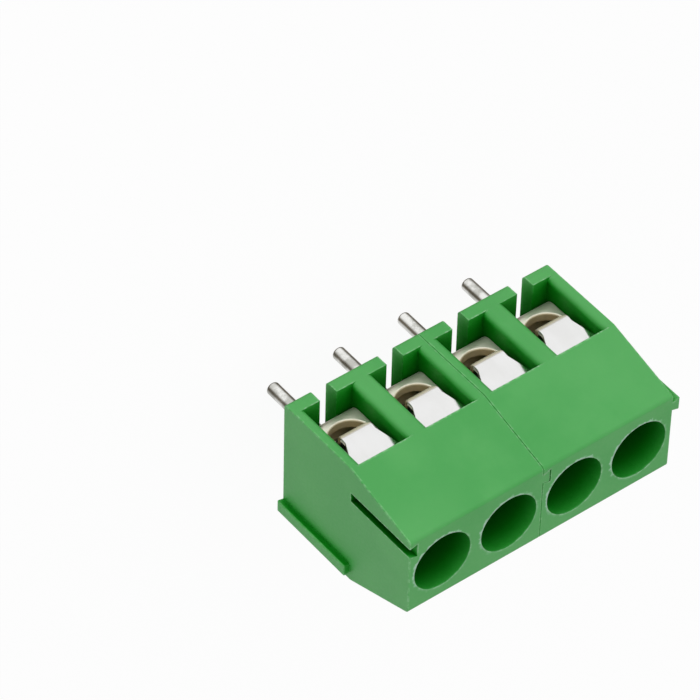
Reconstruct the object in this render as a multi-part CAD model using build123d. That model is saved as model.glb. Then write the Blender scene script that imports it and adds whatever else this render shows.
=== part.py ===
from build123d import *
import math
import os

# PCB screw terminal, four poles, made of two dovetailed two-pole modules.
# X runs along the row, -Y is the wire side, +Z is up. The origin is the middle
# of the pin row on the board face. Millimetres.

# Row
pitch = 5.0
poles_per_module = 2
module_count = 2

# Housing outline, seen from the end
pin_to_front = 3.85
body_depth = 9.6
body_height = 12.2
window_top = 6.5
back_height = 6.7
top_front_setback = 1.5
top_back_setback = 2.05
outline_round = 0.3
end_round = 0.06
mouth_round = 0.4

# Windows, flanges and slots
wall_thickness = 1.5
flange_thickness = 1.05
slot_width = 1.24
slot_past_pin = 1.2
slot_end_round = 0.25

# Dovetails that join the modules, each rib wider at its tip than at its root
back_rib_inset = 0.55
back_rib_width = 0.9
back_rib_reach = 0.45
back_rib_undercut = 0.1
back_rib_drop = 0.1
front_rib_inset = 0.4
front_rib_width = 1.0
front_rib_reach = 0.55
front_rib_undercut = 0.17
front_rib_start = 0.1
rib_clearance = 0.02
rib_round = 0.1
rib_root = 0.3

# Ejector marks under the housing, the back ones behind the middle of their land
mark_depth = 0.06
flange_mark_radius = 1.0
flange_mark_setback = 2.1
back_mark_radius = 1.05
back_mark_offset = 0.375

# Contact cage, bent from strip
strip_thickness = 0.6
cage_depth = 5.7
cage_setback = 1.6
cage_clearance = 0.05
bend_radius = 0.2
wire_hole_radius = 1.45
wire_hole_rise = 1.75
wire_hole_round = 0.12
collar_depth = 0.6
collar_wall = 0.35
strip_seam = 0.05

# Solder pin, riveted into the cage
pin_radius = 0.45
pin_root_radius = 0.5
pin_length = 4.5
pin_tip_round = 0.18
pin_neck_radius = 0.28
rivet_radius = 0.62
rivet_height = 0.25
rivet_round = 0.12

# Clamping screw, its axis a little behind the middle of the cage
screw_offset = 0.15
thread_radius = 1.25
thread_clearance = 0.04
head_radius = 1.8
head_height = 1.6
head_round = 0.2
guide_clearance = 0.1
access_step = 0.2
access_floor_gap = 0.2
driver_slot_width = 0.7
driver_slot_depth = 0.8
tip_chamfer = 0.25
clamp_travel = 0.8
landing_gap = 0.05
tip_gap = 0.02

# Wire guard, one bent strip
guard_thickness = 0.3
guard_gap = 0.04
guard_top_gap = 0.1
guard_flat_depth = 0.2
guard_flare_rise = 0.8
guard_shoulder_share = 0.64
guard_shoulder_round = 0.3
guard_neck_play = 0.35
guard_tail_play = 0.5
guard_neck_step = 0.15
barrel_radius = 0.5
barrel_bulge = 0.61
back_bend_radius = 0.6
tail_back_gap = 0.4
tail_corner = 0.5

# Worked out from the sizes above
module_length = pitch * poles_per_module
pole_count = poles_per_module * module_count
front_y = -pin_to_front
back_y = front_y + body_depth
top_front_y = front_y + top_front_setback
top_back_y = back_y - top_back_setback
window_width = pitch - wall_thickness
cage_width = window_width - 2 * cage_clearance
cage_front_y = front_y + cage_setback
cage_back_y = cage_front_y + cage_depth
cage_bottom_z = flange_thickness
cage_top_z = window_top - cage_clearance
cage_inside_z = cage_bottom_z + strip_thickness
outer_bend = bend_radius + strip_thickness
wire_hole_z = cage_inside_z + wire_hole_rise
back_rib_front_y = back_y - back_rib_inset - back_rib_width
front_rib_front_y = top_front_y + front_rib_inset
front_rib_z = window_top + front_rib_start
back_mark_y = (slot_past_pin + back_y) / 2 + back_mark_offset
guard_neck_width = 2 * (wire_hole_radius - guard_neck_play)
guard_tail_width = 2 * (wire_hole_radius - guard_tail_play)
guard_tail_y = cage_back_y - strip_thickness - tail_back_gap
tail_top_z = wire_hole_z + guard_thickness / 2
screw_y = (cage_front_y + cage_back_y) / 2 + screw_offset
screw_tip_z = tail_top_z + tip_gap
screw_seat_z = cage_top_z + landing_gap + clamp_travel
screw_top_z = screw_seat_z + head_height
guide_radius = head_radius + guide_clearance
access_radius = guide_radius + access_step
access_floor_z = screw_top_z + access_floor_gap


def block(x_low, x_high, y_low, y_high, z_low, z_high):
    corner_to_corner = Box(x_high - x_low, y_high - y_low, z_high - z_low)
    middle = Pos((x_low + x_high) / 2, (y_low + y_high) / 2, (z_low + z_high) / 2)
    return middle * corner_to_corner


def along_row(sketch, x_low, x_high):
    return extrude(Plane.YZ.offset(x_low) * sketch, x_high - x_low)


def along_depth(sketch, y_low, y_high):
    return extrude(Plane.XZ.offset(-y_high) * sketch, y_high - y_low)


def upwards(sketch, z_low, z_high):
    return extrude(Plane.XY.offset(z_low) * sketch, z_high - z_low)


def turned(points):
    # points are (radius, height) from the axis outwards and back to it
    half_section = make_face(Polyline(*points, close=True))
    return revolve(Plane.XZ * half_section, Axis.Z)


# Housing module, its left end at x = 0
def housing_outline():
    corners = [
        (front_y, 0),
        (front_y, window_top),
        (top_front_y, body_height),
        (top_back_y, body_height),
        (back_y, back_height),
        (back_y, 0),
    ]
    outline = make_face(Polyline(*corners, close=True))
    return fillet(outline.vertices(), outline_round)


def dovetail(front, width, reach, undercut, growth):
    low = front - growth
    high = front + width + growth
    tip = reach + growth
    corners = [
        (-rib_root, low + undercut),
        (0, low + undercut),
        (tip, low),
        (tip, high),
        (0, high - undercut),
        (-rib_root, high - undercut),
    ]
    return make_face(Polyline(*corners, close=True))


def back_dovetail(growth):
    section = dovetail(back_rib_front_y, back_rib_width, back_rib_reach, back_rib_undercut, growth)
    return upwards(section, -growth, back_height - back_rib_drop + growth)


def front_dovetail(growth):
    section = dovetail(front_rib_front_y, front_rib_width, front_rib_reach, front_rib_undercut,
                       growth)
    return upwards(mirror(section, Plane.YZ), front_rib_z - growth, body_height + growth)


def back_rib():
    rib = back_dovetail(0)
    return fillet(rib.faces().sort_by(Axis.X)[-1].edges(), rib_round)


def front_rib():
    rib = front_dovetail(0)
    return fillet(rib.faces().sort_by(Axis.X)[0].edges(), rib_round)


def window_cut(x):
    # seen from above, the mouth flares out over rounded wall edges
    half_flare = window_width / 2 + mouth_round
    plan = Pos(0, (front_y + cage_back_y) / 2) * Rectangle(window_width, cage_back_y - front_y)
    plan += Pos(0, front_y + (mouth_round - 1) / 2) * Rectangle(2 * half_flare, mouth_round + 1)
    for side in (-1, 1):
        plan -= Pos(side * half_flare, front_y + mouth_round) * Circle(mouth_round)
    return upwards(Pos(x, 0) * plan, flange_thickness, window_top)


def slot_cut(x):
    half_slot = slot_width / 2
    footprint = Pos(x, (front_y - 1 + slot_past_pin) / 2) * Rectangle(
        slot_width, slot_past_pin - front_y + 1)
    inner_corners = footprint.vertices().group_by(Axis.Y)[-1]
    footprint = fillet(inner_corners, min(slot_end_round, half_slot * 0.9))
    return upwards(footprint, -1, flange_thickness + mark_depth)


def access_cut(x):
    axis = Pos(x, screw_y)
    guide = upwards(axis * Circle(guide_radius), cage_top_z, access_floor_z)
    entry = upwards(axis * Circle(access_radius), access_floor_z, body_height + 1)
    return guide + entry


def ejector_mark(x, y, radius):
    return upwards(Pos(x, y) * Circle(radius), -1, mark_depth)


def housing_module():
    body = along_row(housing_outline(), 0, module_length)
    ends = body.faces().filter_by(Axis.X)
    body = fillet(ends.edges(), end_round)
    body += Pos(module_length, 0, 0) * back_rib()
    body += front_rib()
    body -= back_dovetail(rib_clearance)
    body -= Pos(module_length, 0, 0) * front_dovetail(rib_clearance)
    middles = [(pole + 0.5) * pitch for pole in range(poles_per_module)]
    walls = [wall * pitch for wall in range(1, poles_per_module)]
    for x in middles:
        body -= window_cut(x)
        body -= slot_cut(x)
        body -= access_cut(x)
    for x in middles:
        body -= ejector_mark(x, back_mark_y, back_mark_radius)
    for x in walls:
        body -= ejector_mark(x, front_y + flange_mark_setback, flange_mark_radius)
    return body


# Contact cage, centred on its pole
def rounded_section(y_low, y_high, z_low, z_high, radius):
    centre = Pos((y_low + y_high) / 2, (z_low + z_high) / 2)
    return centre * RectangleRounded(y_high - y_low, z_high - z_low, radius)


def contact_cage():
    half = cage_width / 2
    outside = rounded_section(cage_front_y, cage_back_y, cage_bottom_z, cage_top_z, outer_bend)
    inside = rounded_section(cage_front_y + strip_thickness, cage_back_y - strip_thickness,
                             cage_inside_z, cage_top_z - strip_thickness, bend_radius)
    cage = along_row(outside - inside, -half, half)
    wire_hole = Pos(0, wire_hole_z) * Circle(wire_hole_radius)
    cage -= along_depth(wire_hole, cage_front_y - 1, cage_front_y + strip_thickness)
    rim = cage.edges().filter_by(GeomType.CIRCLE).group_by(Axis.Y)[0]
    cage = fillet(rim, wire_hole_round)
    seat = Pos(0, screw_y)
    collar_low = cage_top_z - strip_thickness - collar_depth
    collar = upwards(seat * Circle(thread_radius + collar_wall), collar_low,
                     cage_top_z - strip_thickness / 2)
    cage += collar
    cage -= upwards(seat * Circle(thread_radius), collar_low - 1, cage_top_z + 1)
    cage -= upwards(Circle(pin_neck_radius), cage_bottom_z - 1, cage_inside_z + 1)
    seam_top = cage_top_z - strip_thickness
    cage -= block(-half, half, cage_back_y - outer_bend, cage_back_y + 1,
                  seam_top - strip_seam, seam_top)
    return cage


# Solder pin, standing on the board face at the origin of its pole
def solder_pin():
    shank = turned([
        (0, -pin_length),
        (pin_radius, -pin_length),
        (pin_radius, 0),
        (pin_root_radius, cage_bottom_z),
        (pin_neck_radius, cage_bottom_z),
        (pin_neck_radius, cage_inside_z),
        (rivet_radius, cage_inside_z),
        (rivet_radius, cage_inside_z + rivet_height),
        (0, cage_inside_z + rivet_height),
    ])
    rings = shank.edges().filter_by(GeomType.CIRCLE).sort_by(Axis.Z)
    shank = fillet(rings[0], pin_tip_round)
    rings = shank.edges().filter_by(GeomType.CIRCLE).sort_by(Axis.Z)
    return fillet(rings[-1], rivet_round)


# Clamping screw, its axis on the pole
def clamping_screw():
    core = thread_radius - thread_clearance
    screw = turned([
        (0, screw_tip_z),
        (core - tip_chamfer, screw_tip_z),
        (core, screw_tip_z + tip_chamfer),
        (core, screw_seat_z),
        (head_radius, screw_seat_z),
        (head_radius, screw_top_z),
        (0, screw_top_z),
    ])
    rings = screw.edges().filter_by(GeomType.CIRCLE).sort_by(Axis.Z)
    screw = fillet(rings[-1], head_round)
    screw -= block(-head_radius * 1.1, head_radius * 1.1, -driver_slot_width / 2,
                   driver_slot_width / 2, screw_top_z - driver_slot_depth, screw_top_z + 1)
    return Pos(0, screw_y, 0) * screw


# Wire guard: flat head, plate that leans out to a barrel bend, tail through the wire hole
def strip_side(side):
    # one face of the strip: side is +1 for the outside of the barrel, -1 for the inside
    shift = side * guard_thickness / 2
    head_y = cage_front_y - guard_gap - guard_thickness / 2
    top_z = window_top - guard_top_gap
    barrel_y = head_y - barrel_bulge + barrel_radius
    barrel_z = wire_hole_z + barrel_radius
    hollow_y = head_y - back_bend_radius
    hollow_z = top_z - guard_flat_depth
    radii = barrel_radius + back_bend_radius
    between = math.hypot(hollow_y - barrel_y, hollow_z - barrel_z)
    plate_length = math.sqrt(between ** 2 - radii ** 2)
    lean = math.atan2(hollow_y - barrel_y, hollow_z - barrel_z) + math.atan2(radii, plate_length)
    outer = barrel_radius + shift
    inner = back_bend_radius - shift

    def on_barrel(angle):
        return (barrel_y - outer * math.cos(angle), barrel_z + outer * math.sin(angle))

    def on_back_bend(angle):
        return (hollow_y + inner * math.cos(angle), hollow_z - inner * math.sin(angle))

    head = Line((head_y - shift, top_z), on_back_bend(0))
    back_bend = ThreePointArc(on_back_bend(0), on_back_bend(lean / 2), on_back_bend(lean))
    plate = Line(on_back_bend(lean), on_barrel(lean))
    middle = (lean - math.pi / 2) / 2
    barrel = ThreePointArc(on_barrel(lean), on_barrel(middle), on_barrel(-math.pi / 2))
    tail = Line(on_barrel(-math.pi / 2), (guard_tail_y, wire_hole_z - shift))
    return [head, back_bend, plate, barrel, tail]


def guard_outline():
    half_head = cage_width / 2
    top_z = window_top - guard_top_gap
    flare_z = wire_hole_z + guard_flare_rise
    shoulder_z = flare_z + (top_z - flare_z) * guard_shoulder_share
    tail_z = wire_hole_z + guard_thickness / 2
    right_side = [
        (half_head, top_z),
        (half_head, shoulder_z),
        (guard_neck_width / 2, flare_z),
        (guard_neck_width / 2, tail_z + guard_neck_step),
        (guard_tail_width / 2, tail_z),
        (guard_tail_width / 2, wire_hole_z - guard_thickness),
    ]
    left_side = [(-x, z) for x, z in reversed(right_side)]
    outline = make_face(Polyline(*right_side, *left_side, close=True))
    bends = [v for v in outline.vertices() if flare_z - 1e-6 < v.Y < shoulder_z + 1e-6]
    return fillet(bends, guard_shoulder_round)


def wire_guard():
    outside = strip_side(1)
    inside = strip_side(-1)
    top_end = Line(outside[0] @ 0, inside[0] @ 0)
    tail_end = Line(outside[-1] @ 1, inside[-1] @ 1)
    section = make_face(outside + inside + [top_end, tail_end])
    bent = along_row(section, -cage_width / 2, cage_width / 2)
    guard = bent & along_depth(guard_outline(), front_y - 1, back_y + 1)
    corners = guard.edges().filter_by(Axis.Z).group_by(Axis.Y)[-1]
    return fillet(corners, tail_corner)


def keep(shape, node):
    solid = shape.solids()[0]
    solid.label = node
    export_step(solid, "parts/" + node + ".step")


def main():
    os.makedirs("parts", exist_ok=True)
    module = housing_module()
    row_start = -module_length * module_count / 2
    for number in range(module_count):
        keep(Pos(row_start + number * module_length, 0, 0) * module, f"housing_{number + 1}")
    cage = contact_cage()
    pin = solder_pin()
    guard = wire_guard()
    screw = clamping_screw()
    for number in range(pole_count):
        place = Pos(row_start + (number + 0.5) * pitch, 0, 0)
        keep(place * cage, f"contact_cage_{number + 1}")
        keep(place * pin, f"solder_pin_{number + 1}")
        keep(place * guard, f"wire_guard_{number + 1}")
        keep(place * screw, f"clamp_screw_{number + 1}")


main()
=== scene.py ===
import math

import bmesh
import bpy
from mathutils import Matrix, Vector


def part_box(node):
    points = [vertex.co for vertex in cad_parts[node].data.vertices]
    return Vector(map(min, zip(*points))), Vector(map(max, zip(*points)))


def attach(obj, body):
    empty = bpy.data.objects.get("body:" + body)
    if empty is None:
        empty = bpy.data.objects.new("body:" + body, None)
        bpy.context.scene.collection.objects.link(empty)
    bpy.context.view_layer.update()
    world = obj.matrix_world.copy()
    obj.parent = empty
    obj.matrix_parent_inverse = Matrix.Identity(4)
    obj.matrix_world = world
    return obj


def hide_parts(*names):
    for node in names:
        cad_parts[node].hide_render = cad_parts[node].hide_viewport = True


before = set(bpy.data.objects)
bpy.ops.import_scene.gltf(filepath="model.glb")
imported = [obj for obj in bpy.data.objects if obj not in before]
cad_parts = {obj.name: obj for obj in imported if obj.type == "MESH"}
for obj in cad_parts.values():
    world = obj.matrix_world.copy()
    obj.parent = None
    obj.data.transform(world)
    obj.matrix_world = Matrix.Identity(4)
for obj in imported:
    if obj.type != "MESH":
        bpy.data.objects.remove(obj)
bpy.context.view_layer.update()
poles = [1, 2, 3, 4]
mm = 0.001
print("frame loaded with", len(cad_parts), "nodes")


# Shader helpers

class Wire:
    # one output of a node that can be used in sums
    def __init__(self, finish, socket):
        self.finish = finish
        self.socket = socket

    def __add__(self, other):
        return self.finish.maths("ADD", self, other)

    def __radd__(self, other):
        return self.finish.maths("ADD", other, self)

    def __sub__(self, other):
        return self.finish.maths("SUBTRACT", self, other)

    def __rsub__(self, other):
        return self.finish.maths("SUBTRACT", other, self)

    def __mul__(self, other):
        return self.finish.maths("MULTIPLY", self, other)

    def __rmul__(self, other):
        return self.finish.maths("MULTIPLY", other, self)

    def __abs__(self):
        return self.finish.maths("ABSOLUTE", self)


class Finish:
    # a material, or the world, and the nodes in it
    def __init__(self, name, forWorld=False):
        kinds = bpy.data.worlds if forWorld else bpy.data.materials
        self.material = kinds.new(name)
        self.material.use_nodes = True
        self.tree = self.material.node_tree
        self.tree.nodes.clear()
        self.out = self.node("ShaderNodeOutputWorld" if forWorld else "ShaderNodeOutputMaterial")
        self.places = self.node("ShaderNodeTexCoord").outputs
        self.place = self.places["Generated" if forWorld else "Object"]

    def node(self, kind, settings=None, inputs=None):
        made = self.tree.nodes.new(kind)
        for key, setting in (settings or {}).items():
            if key == "stops":
                ramp = made.color_ramp
                while len(ramp.elements) < len(setting):
                    ramp.elements.new(0.5)
                for element, (position, colour) in zip(ramp.elements, setting):
                    element.position = position
                    element.color = (*colour, 1)
            else:
                setattr(made, key, setting)
        for key, given in (inputs or {}).items():
            if isinstance(given, Wire):
                given = given.socket
            if isinstance(given, bpy.types.NodeSocket):
                self.tree.links.new(given, made.inputs[key])
            else:
                made.inputs[key].default_value = given
        return made

    def value(self, kind, settings=None, inputs=None, output=0):
        return Wire(self, self.node(kind, settings, inputs).outputs[output])

    def maths(self, operation, first, second=0.0):
        return self.value("ShaderNodeMath", {"operation": operation}, {0: first, 1: second})

    def colour(self, factor, first, second, blend="MIX"):
        settings = {"data_type": "RGBA", "blend_type": blend}
        first = first if isinstance(first, bpy.types.NodeSocket) else (*first, 1)
        second = second if isinstance(second, bpy.types.NodeSocket) else (*second, 1)
        return self.node("ShaderNodeMix", settings, {0: factor, 6: first, 7: second}).outputs[2]

    def noise(self, scale, detail, roughness, stretch=(1, 1, 1), seed=0.0):
        # a seed slides the pattern away, so that two noises of one piece don't line up
        stretched = self.node("ShaderNodeMapping", {"vector_type": "POINT"},
                              {"Vector": self.place, "Location": (seed, seed * 0.7, seed * 1.3),
                               "Scale": stretch})
        return self.value("ShaderNodeTexNoise", {"noise_dimensions": "3D"},
                          {"Vector": stretched.outputs[0], "Scale": scale, "Detail": detail,
                           "Roughness": roughness})

    def ramp(self, value, low, high, lowOut=0.0, highOut=1.0):
        # a soft step as value goes from low to high; the ramps and roughs below list these numbers
        return self.value("ShaderNodeMapRange", {"interpolation_type": "SMOOTHSTEP"},
                          {"Value": value, "From Min": low, "From Max": high,
                           "To Min": lowOut, "To Max": highOut})

    def axis(self, letter, kind=None):
        source = self.places[kind] if kind else self.place
        return self.value("ShaderNodeSeparateXYZ", None, {"Vector": source}, letter)

    def bump(self, height, distance, strength, normal=None):
        inputs = {"Height": height, "Distance": distance, "Strength": strength}
        if normal is not None:
            inputs["Normal"] = normal
        return self.node("ShaderNodeBump", None, inputs).outputs[0]

    def opening(self, reach, alone=False):
        # how open a place is to the room, from 0 deep in a hole to 1
        return self.value("ShaderNodeAmbientOcclusion", {"samples": 8, "only_local": alone},
                          {"Distance": reach}, "AO")

    def rounding(self, radius):
        return self.node("ShaderNodeBevel", {"samples": 6}, {"Radius": radius}).outputs[0]

    def edges(self, radius):
        # 1 on an edge, from how far a rounded normal leans away from the face's own
        face = self.node("ShaderNodeNewGeometry").outputs["True Normal"]
        along = self.value("ShaderNodeVectorMath", {"operation": "DOT_PRODUCT"},
                           {0: self.rounding(radius), 1: face}, "Value")
        return self.ramp(along, 0.995, 0.90)

    def shader(self, inputs):
        return self.node("ShaderNodeBsdfPrincipled", None, inputs).outputs[0]

    def finish(self, shader):
        self.tree.links.new(shader, self.out.inputs["Surface"])
        return self.material


def dress(piece, material):
    piece.data.materials.clear()
    piece.data.materials.append(material)


# Housing plastic

housing = {
    "colour": (0.066, 0.385, 0.082),
    "paleColour": (0.092, 0.415, 0.104),
    "deepColour": (0.046, 0.350, 0.064),
    "cloudSize": 260.0,
    "cloudRamp": (0.35, 0.70),
    "driftSize": 70.0,
    "driftRamp": (0.40, 0.65, 0.0, 0.6),
    "roughness": 0.42,
    "grainRough": (0.3, 0.7, -0.04, 0.05),
    "driftRough": (0.38, 0.66, -0.05, 0.05),
    "grainSize": 5200.0,
    "grainDepth": 0.004 * mm,
    "grainStrength": 0.5,
    "ior": 1.53,
    "scatter": 0.12,
    "scatterColours": (0.2, 1.0, 0.25),
    "scatterDepth": 0.4 * mm,
    "roundedEdge": 0.07 * mm,
}

# painted shade in holes and windows, colours multiplied into the plastic, from deepest to open
recessShade = {
    "reach": 4.4 * mm,
    "stops": [(0.08, (0.005, 0.20, 0.01)), (0.36, (0.02, 0.46, 0.05)), (0.52, (0.14, 0.74, 0.20)),
              (0.70, (0.58, 0.92, 0.60)), (0.90, (1.0, 1.0, 1.0))],
    "openRamp": (0.40, 0.80),
    "roughness": 0.7,
    "specular": 0.05,
}

# painted highlight: a pale colour on open edges, made ragged by a noise
paintedEdgeHighlight = {
    "colour": (0.38, 0.66, 0.40),
    "radius": 0.18 * mm,
    "openRamp": (0.40, 0.55),
    "jitterSize": 2600.0,
    "jitterRamp": (0.44, 0.60, 0.12, 0.9),
}

flash = {
    "colour": (0.42, 0.66, 0.50),
    "pitch": 5.0 * mm,
    "radius": 2.1 * mm,
    "ragged": 0.7 * mm,
    "ringRamp": (0.20 * mm, 0.02 * mm),
    "towards": (0.6, -0.8),
    "sideRamp": (0.0, 1.2 * mm, 0.15, 0.85),
    "depthRamp": (0.10 * mm, 0.03 * mm),
}


def mouthFlash(f, jitter):
    # thin ragged flash round the mouth of each round hole, most of it towards the wire side
    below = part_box("housing_1")[1].z - f.axis("Z")
    low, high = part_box("clamp_screw_1")
    pitch = flash["pitch"]
    across = f.maths("MODULO", f.axis("X") + 2 * pitch, pitch) - pitch / 2
    along = f.axis("Y") - (low.y + high.y) / 2
    fromAxis = f.maths("SQRT", across * across + along * along)
    uneven = (jitter - 0.5) * flash["ragged"]
    ring = f.ramp(abs(fromAxis - flash["radius"] - uneven), *flash["ringRamp"])
    right, back = flash["towards"]
    side = f.ramp(across * right + along * back, *flash["sideRamp"])
    return ring * side * f.ramp(below, *flash["depthRamp"])


def housingFinish():
    f = Finish("housingPlastic")
    cloud = f.noise(housing["cloudSize"], 4.0, 0.55)
    drift = f.noise(housing["driftSize"], 2.0, 0.5, seed=3.1)
    grain = f.noise(housing["grainSize"], 2.0, 0.6)
    jitter = f.noise(paintedEdgeHighlight["jitterSize"], 3.0, 0.6, seed=1.7)
    tone = f.colour(f.ramp(cloud, *housing["cloudRamp"]), housing["deepColour"], housing["colour"])
    tone = f.colour(f.ramp(drift, *housing["driftRamp"]), tone, housing["paleColour"])
    rounded = f.rounding(housing["roundedEdge"])
    relief = f.bump(grain, housing["grainDepth"], housing["grainStrength"], rounded)

    # painted highlight: the plastic is paler on its open edges; painted shade: it is darker and greener in
    # its holes and windows, where a duller shader also takes its sheen away
    openness = f.opening(recessShade["reach"])
    edgeHighlightMask = f.edges(paintedEdgeHighlight["radius"]) * f.ramp(openness, *paintedEdgeHighlight["openRamp"])
    tone = f.colour(edgeHighlightMask * f.ramp(jitter, *paintedEdgeHighlight["jitterRamp"]), tone, paintedEdgeHighlight["colour"])
    tone = f.colour(mouthFlash(f, jitter), tone, flash["colour"])
    depth = f.node("ShaderNodeValToRGB", {"stops": recessShade["stops"]}, {"Fac": openness})
    tone = f.colour(1.0, tone, depth.outputs[0], "MULTIPLY")
    uneven = f.ramp(grain, *housing["grainRough"]) + f.ramp(drift, *housing["driftRough"])
    outer = f.shader({
        "Base Color": tone,
        "Roughness": housing["roughness"] + uneven,
        "IOR": housing["ior"],
        "Subsurface Weight": housing["scatter"],
        "Subsurface Radius": housing["scatterColours"],
        "Subsurface Scale": housing["scatterDepth"],
        "Normal": relief,
    })
    inner = f.shader({
        "Base Color": tone,
        "Roughness": recessShade["roughness"],
        "Specular IOR Level": recessShade["specular"],
        "Normal": relief,
    })
    opened = f.ramp(openness, *recessShade["openRamp"])
    mixed = f.node("ShaderNodeMixShader", None, {0: opened, 1: inner, 2: outer})
    return f.finish(mixed.outputs[0])


plastic = housingFinish()
for name in ("housing_1", "housing_2"):
    dress(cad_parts[name], plastic)
print("housings dressed")


# Contact cages and solder pins

cage = {
    "outside": (0.92, 0.90, 0.76),
    "dull": (0.70, 0.68, 0.55),
    "cloudSize": 420.0,
    "cloudRamp": (0.4, 0.7, 0.0, 0.35),
    # painted light: the inside brown, paler where it lies deeper
    "insideStops": [(0.18, (0.95, 0.72, 0.37)), (0.44, (0.56, 0.43, 0.22))],
    "insideReach": 4.0 * mm,
    "outsideRamp": (0.82, 0.97),
    "outsideMetal": 0.75,
    "insideMetal": 0.12,
    "roughness": 0.32,
    "insideRougher": 0.2,
    "cloudRough": (0.3, 0.7, -0.05, 0.08),
    "pitSize": 3600.0,
    "pitDepth": 0.010 * mm,
    "pitStrength": 0.6,
    "rolledSize": 2600.0,
    "rolledStretch": (1.0, 0.2, 0.2),
    "rolledDepth": 0.002 * mm,
    "rolledStrength": 0.4,
    "roundedEdge": 0.05 * mm,
}

pin = {
    "colour": (0.88, 0.88, 0.85),
    "dull": (0.56, 0.56, 0.52),
    "cloudSize": 1100.0,
    "cloudRamp": (0.42, 0.62),
    "roughness": 0.20,
    "drawnRough": (0.3, 0.7, -0.05, 0.08),
    "drawnSize": 3000.0,
    "drawnStretch": (1.0, 1.0, 0.04),
    "drawnDepth": 0.003 * mm,
    "drawnStrength": 0.35,
    "dentSize": 1800.0,
    "dentStretch": (1.0, 1.0, 0.5),
    "dentDepth": 0.02 * mm,
    "dentStrength": 0.6,
}


def cageFinish():
    # bright plate outside and brown inside; deep inside the brown is painted paler, painted light where
    # little light comes
    f = Finish("cageTinPlate")
    cloud = f.noise(cage["cloudSize"], 4.0, 0.6)
    openness = f.opening(cage["insideReach"], alone=True)
    outer = f.ramp(openness, *cage["outsideRamp"])
    inside = f.node("ShaderNodeValToRGB", {"stops": cage["insideStops"]}, {"Fac": openness})
    tone = f.colour(f.ramp(cloud, *cage["cloudRamp"]), cage["outside"], cage["dull"])
    rolled = f.noise(cage["rolledSize"], 2.0, 0.5, cage["rolledStretch"])
    pits = f.noise(cage["pitSize"], 2.0, 0.6)
    pitted = f.bump(pits, cage["pitDepth"], cage["pitStrength"], f.rounding(cage["roundedEdge"]))
    uneven = f.ramp(cloud, *cage["cloudRough"]) + (1.0 - outer) * cage["insideRougher"]
    return f.finish(f.shader({
        "Base Color": f.colour(outer, inside.outputs[0], tone),
        "Metallic": cage["insideMetal"] + outer * (cage["outsideMetal"] - cage["insideMetal"]),
        "Roughness": cage["roughness"] + uneven,
        "Normal": f.bump(rolled, cage["rolledDepth"], cage["rolledStrength"], pitted),
    }))


def pinFinish():
    f = Finish("pinTinPlate")
    drawn = f.noise(pin["drawnSize"], 2.0, 0.5, pin["drawnStretch"])
    dents = f.noise(pin["dentSize"], 2.0, 0.5, pin["dentStretch"])
    cloud = f.noise(pin["cloudSize"], 3.0, 0.6)
    lines = f.bump(drawn, pin["drawnDepth"], pin["drawnStrength"])
    return f.finish(f.shader({
        "Base Color": f.colour(f.ramp(cloud, *pin["cloudRamp"]), pin["colour"], pin["dull"]),
        "Metallic": 1.0,
        "Roughness": pin["roughness"] + f.ramp(drawn, *pin["drawnRough"]),
        "Normal": f.bump(dents, pin["dentDepth"], pin["dentStrength"], lines),
    }))


cagePlate = cageFinish()
pinPlate = pinFinish()
for pole in poles:
    dress(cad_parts[f"contact_cage_{pole}"], cagePlate)
    dress(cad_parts[f"solder_pin_{pole}"], pinPlate)
print("cages and pins dressed")


# Wire guards

guard = {
    "colour": (0.83, 0.83, 0.825),
    "dull": (0.79, 0.79, 0.78),
    "cloudSize": 600.0,
    "cloudRamp": (0.35, 0.75),
    # painted reflection: beige on the down-facing outside of the bend
    "bendReflectionColour": (0.80, 0.71, 0.54),
    "bendRamp": (-0.06, -0.36),
    "bendDuller": 0.75,
    "roughness": 0.16,
    "brushedRough": (0.3, 0.7, -0.04, 0.06),
    "brushedSize": 4000.0,
    "brushedStretch": (1.0, 0.05, 0.05),
    "brushedDepth": 0.0015 * mm,
    "brushedStrength": 0.3,
    "roundedEdge": 0.04 * mm,
}


def guardFinish():
    f = Finish("guardSpringStrip")
    brushed = f.noise(guard["brushedSize"], 2.0, 0.55, guard["brushedStretch"])
    cloud = f.noise(guard["cloudSize"], 3.0, 0.5)
    tone = f.colour(f.ramp(cloud, *guard["cloudRamp"]), guard["colour"], guard["dull"])

    # painted reflection: the outside of the bend, which faces down and out, is painted beige and less
    # metallic
    bendReflection = f.ramp(f.axis("Z", "Normal"), *guard["bendRamp"])
    rounded = f.rounding(guard["roundedEdge"])
    return f.finish(f.shader({
        "Base Color": f.colour(bendReflection, tone, guard["bendReflectionColour"]),
        "Metallic": 1.0 - bendReflection * guard["bendDuller"],
        "Roughness": guard["roughness"] + f.ramp(brushed, *guard["brushedRough"]),
        "Normal": f.bump(brushed, guard["brushedDepth"], guard["brushedStrength"], rounded),
    }))


spring = guardFinish()
for pole in poles:
    dress(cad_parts[f"wire_guard_{pole}"], spring)
print("guards dressed")


# Clamping screws, with a real thread, a slotted head and worn zinc

zinc = {
    "colour": (0.62, 0.62, 0.60),
    "dull": (0.50, 0.50, 0.47),
    "cloudSize": 700.0,
    "cloudRamp": (0.35, 0.7),
    "roughness": 0.30,
    "cloudRough": (0.3, 0.7, -0.05, 0.1),
    "turnedSize": 2400.0,
    "turnedStretch": (0.3, 0.3, 1.0),
    "turnedDepth": 0.002 * mm,
    "turnedStrength": 0.3,
}

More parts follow.
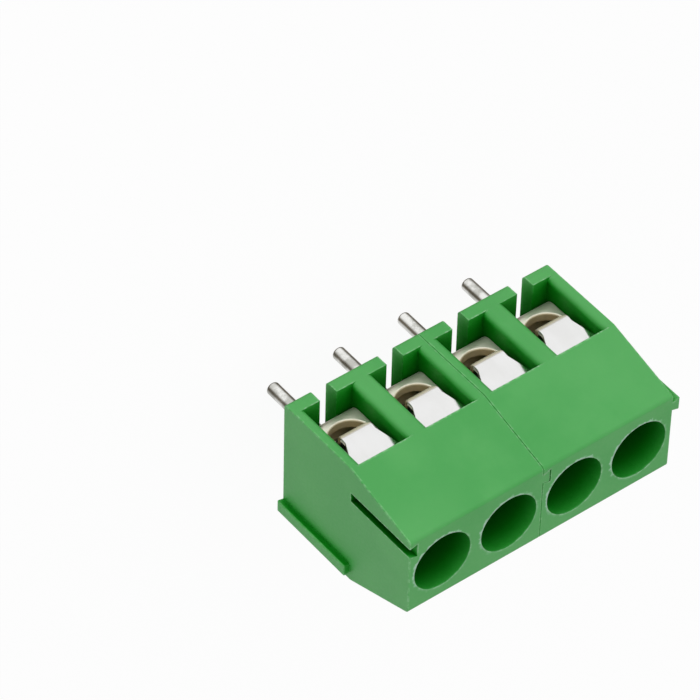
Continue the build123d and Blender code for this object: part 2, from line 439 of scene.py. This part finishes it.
screw = {
    "pitch": 0.45 * mm,
    "crest": 1.205 * mm,
    "threadDepth": 0.27 * mm,
    "flankSlope": 1.25,  # over 1, so that the crest is flat
    "rootFlat": 0.05,
    "tipStep": 0.05 * mm,
    "runOut": 0.6 * mm,
    "plainNeck": 0.15 * mm,
    "seat": 7.3 * mm,
    "headRadius": 1.8 * mm,
    "headRound": 0.2 * mm,
    "headChamfer": 0.08 * mm,
    "roundSteps": 6,
    "slotWidth": 0.7 * mm,
    "slotDepth": 0.8 * mm,
    "slotOverrun": 1.2,
    "slotEdge": 0.035 * mm,
    "slotEdgeAngle": 50,
    "smoothAngle": 38,
    "around": 64,
    "perTurn": 14,
}


def screwFinish():
    f = Finish("screwZinc")
    cloud = f.noise(zinc["cloudSize"], 4.0, 0.6)
    turned = f.noise(zinc["turnedSize"], 2.0, 0.5, zinc["turnedStretch"])
    return f.finish(f.shader({
        "Base Color": f.colour(f.ramp(cloud, *zinc["cloudRamp"]), zinc["colour"], zinc["dull"]),
        "Metallic": 1.0,
        "Roughness": zinc["roughness"] + f.ramp(cloud, *zinc["cloudRough"]),
        "Normal": f.bump(turned, zinc["turnedDepth"], zinc["turnedStrength"]),
    }))


def linked(name, data):
    piece = bpy.data.objects.new(name, data)
    bpy.context.scene.collection.objects.link(piece)
    return piece


def meshFrom(name, mesh):
    data = bpy.data.meshes.new(name)
    mesh.to_mesh(data)
    mesh.free()
    return data


def ringsToMesh(name, rings):
    # each ring is a list of points, closed round, and both ends are filled
    mesh = bmesh.new()
    rows = [[mesh.verts.new(point) for point in ring] for ring in rings]
    for low, high in zip(rows, rows[1:]):
        count = len(low)
        for i in range(count):
            j = (i + 1) % count
            mesh.faces.new((low[i], low[j], high[j], high[i]))
    mesh.faces.new(list(reversed(rows[0])))
    mesh.faces.new(rows[-1])
    bmesh.ops.recalc_face_normals(mesh, faces=mesh.faces)
    return linked(name, meshFrom(name, mesh))


def applyModifiers(piece):
    bpy.context.view_layer.update()
    graph = bpy.context.evaluated_depsgraph_get()
    finished = bpy.data.meshes.new_from_object(piece.evaluated_get(graph))
    piece.modifiers.clear()
    piece.data = finished


def clamp(number):
    return min(1.0, max(0.0, number))


def threadHeight(turns):
    # a sixty degree thread, from 0 at the root to 1 at the crest
    saw = abs((turns % 1.0) * 2 - 1)
    return clamp((1 - saw) * screw["flankSlope"] - screw["rootFlat"])


def makeShank(name, middle, tip):
    around = screw["around"]
    core = screw["crest"] - screw["threadDepth"]
    length = screw["seat"] - tip
    steps = int(length / screw["pitch"] * screw["perTurn"])
    rings = []
    for step in range(steps + 1):
        fromTip = length * step / steps
        z = tip + fromTip
        largest = min(screw["crest"], core - screw["tipStep"] + fromTip)
        fade = clamp((length - fromTip - screw["plainNeck"]) / screw["runOut"])
        ring = []
        for i in range(around):
            angle = 2 * math.pi * i / around
            height = threadHeight(z / screw["pitch"] - i / around)
            radius = min(largest, core + screw["threadDepth"] * height * fade)
            ring.append((middle.x + radius * math.cos(angle), middle.y + radius * math.sin(angle), z))
        rings.append(ring)
    return ringsToMesh(name, rings)


def makeHead(name, middle, top):
    around = screw["around"]
    widest = screw["headRadius"]
    chamfer = screw["headChamfer"]
    rounding = screw["headRound"]
    profile = [(widest - chamfer, screw["seat"]), (widest, screw["seat"] + chamfer)]
    for i in range(screw["roundSteps"] + 1):
        turn = math.pi / 2 * i / screw["roundSteps"]
        profile.append((widest - rounding + rounding * math.cos(turn),
                        top - rounding + rounding * math.sin(turn)))
    turns = [2 * math.pi * i / around for i in range(around)]
    head = ringsToMesh(name, [
        [(middle.x + radius * math.cos(turn), middle.y + radius * math.sin(turn), z) for turn in turns]
        for radius, z in profile])
    halfLength = screw["slotOverrun"] * widest
    halfWidth = screw["slotWidth"] / 2
    cutter = ringsToMesh("slotCutter", [
        [(middle.x + x * halfLength, middle.y + y * halfWidth, z)
         for x, y in ((-1, -1), (1, -1), (1, 1), (-1, 1))]
        for z in (top - screw["slotDepth"], top + screw["slotDepth"])])
    cut = head.modifiers.new("slot", "BOOLEAN")
    cut.object = cutter
    cut.solver = "EXACT"
    soften = head.modifiers.new("soften", "BEVEL")
    soften.width = screw["slotEdge"]
    soften.segments = 2
    soften.limit_method = "ANGLE"
    soften.angle_limit = math.radians(screw["slotEdgeAngle"])
    applyModifiers(head)
    bpy.data.objects.remove(cutter)
    return head


def makeScrew(pole, finish):
    low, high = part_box(f"clamp_screw_{pole}")
    middle = (low + high) / 2
    shank = makeShank(f"clampScrewShank_{pole}", middle, low.z)
    head = makeHead(f"clampScrewHead_{pole}", middle, high.z)
    whole = bmesh.new()
    for part in (shank, head):
        whole.from_mesh(part.data)
        bpy.data.objects.remove(part)
    piece = linked(f"clampScrew_{pole}", meshFrom(f"clampScrew_{pole}", whole))
    piece.data.set_sharp_from_angle(angle=math.radians(screw["smoothAngle"]))
    dress(piece, finish)
    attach(piece, f"screw_{pole}")
    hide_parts(f"clamp_screw_{pole}")


wornZinc = screwFinish()
for pole in poles:
    makeScrew(pole, wornZinc)
print("screws made")


# Floor, light and camera

# in the picture the part lies on its back, so most light comes from -Y
studio = {
    "floorHeight": -4.52 * mm,
    "floorRadius": 1.6,
    "paper": (0.95, 0.95, 0.95, 1),
    "white": (1, 1, 1, 1),
    "shadowShare": 0.06,
    "skyMiddle": 0.66,
    "skySlope": 0.39,
    "skyEnds": 0.15,
    "glossMiddle": 0.88,
    "glossSlope": 0.16,
    "bandColour": (0.16, 0.14, 0.11),
    "endsRamp": (0.16, 0.70),
    "aboveRamp": (0.60, 0.90),
    "keyStrength": 0.26,
    "keyFrom": (0.15, -1.0, 0.10),
    "keyDistance": 0.30,
    "keySize": 0.30,
}

camera = {
    "lens": 249.38,
    "sensor": 36.0,
    "clip": (0.01, 10.0),
    "place": (0.130475, -0.211181, 0.157327),
    "right": (-0.79313953, -0.01776085, 0.60878094),
    "up": (-0.42556705, -0.69889930, -0.57483255),
}


def makeFloor():
    mesh = bmesh.new()
    bmesh.ops.create_circle(mesh, cap_ends=True, radius=studio["floorRadius"], segments=96)
    bmesh.ops.translate(mesh, verts=mesh.verts, vec=(0, 0, studio["floorHeight"]))
    floor = linked("floor", meshFrom("floor", mesh))
    f = Finish("floorPaper")
    seen = f.value("ShaderNodeLightPath", output="Is Camera Ray")
    paper = f.node("ShaderNodeBsdfDiffuse", None, {"Color": studio["paper"]})
    white = f.node("ShaderNodeEmission", None, {"Color": studio["white"], "Strength": 1.0})
    mixed = f.node("ShaderNodeMixShader", None,
                   {0: seen * (1 - studio["shadowShare"]), 1: paper.outputs[0], 2: white.outputs[0]})
    dress(floor, f.finish(mixed.outputs[0]))
    floor.visible_glossy = False


def makeWorld():
    # soft light comes most from -Y, and mirrors see the sky and both ends along Y bright, and the rest dim
    f = Finish("studioWorld", True)
    path = f.node("ShaderNodeLightPath")
    seen = Wire(f, path.outputs["Is Camera Ray"])
    mirrored = Wire(f, path.outputs["Is Glossy Ray"])
    facing = f.axis("Y") * -1.0
    soft = facing * studio["skySlope"] + facing * facing * studio["skyEnds"] + studio["skyMiddle"]
    ends = f.ramp(abs(facing), *studio["endsRamp"])
    above = f.ramp(f.axis("Z"), *studio["aboveRamp"])
    white = studio["white"][:3]
    mirror = f.colour(f.maths("MAXIMUM", ends, above), studio["bandColour"], white)
    tint = f.colour(mirrored * (1.0 - seen), white, mirror)
    gloss = facing * studio["glossSlope"] + studio["glossMiddle"]
    level = seen + (1.0 - seen) * (mirrored * gloss + (1.0 - mirrored) * soft)
    sky = f.node("ShaderNodeBackground", None, {"Color": tint, "Strength": level})
    bpy.context.scene.world = f.finish(sky.outputs[0])


def makeKey():
    distance = studio["keyDistance"]
    lamp = bpy.data.lights.new("keyLight", "AREA")
    lamp.shape = "DISK"
    lamp.size = studio["keySize"]
    lamp.energy = studio["keyStrength"] * math.pi ** 2 * distance ** 2
    key = linked("keyLight", lamp)
    towards = Vector(studio["keyFrom"]).normalized()
    key.location = towards * distance
    key.rotation_euler = towards.to_track_quat("Z", "Y").to_euler()

    # bright metal would mirror the lamp as a clipped white spot
    key.visible_glossy = False


def makeCamera():
    data = bpy.data.cameras.new("photoCamera")
    data.lens = camera["lens"]
    data.sensor_width = camera["sensor"]
    data.clip_start, data.clip_end = camera["clip"]
    eye = linked("photoCamera", data)
    right = Vector(camera["right"]).normalized()
    up = Vector(camera["up"]).normalized()
    turn = Matrix((right, up, right.cross(up))).transposed().to_4x4()
    eye.matrix_world = Matrix.Translation(Vector(camera["place"])) @ turn
    bpy.context.scene.camera = eye


makeFloor()
makeWorld()
makeKey()
makeCamera()
bpy.context.scene.view_settings.view_transform = "Standard"
print("floor, light and camera placed")
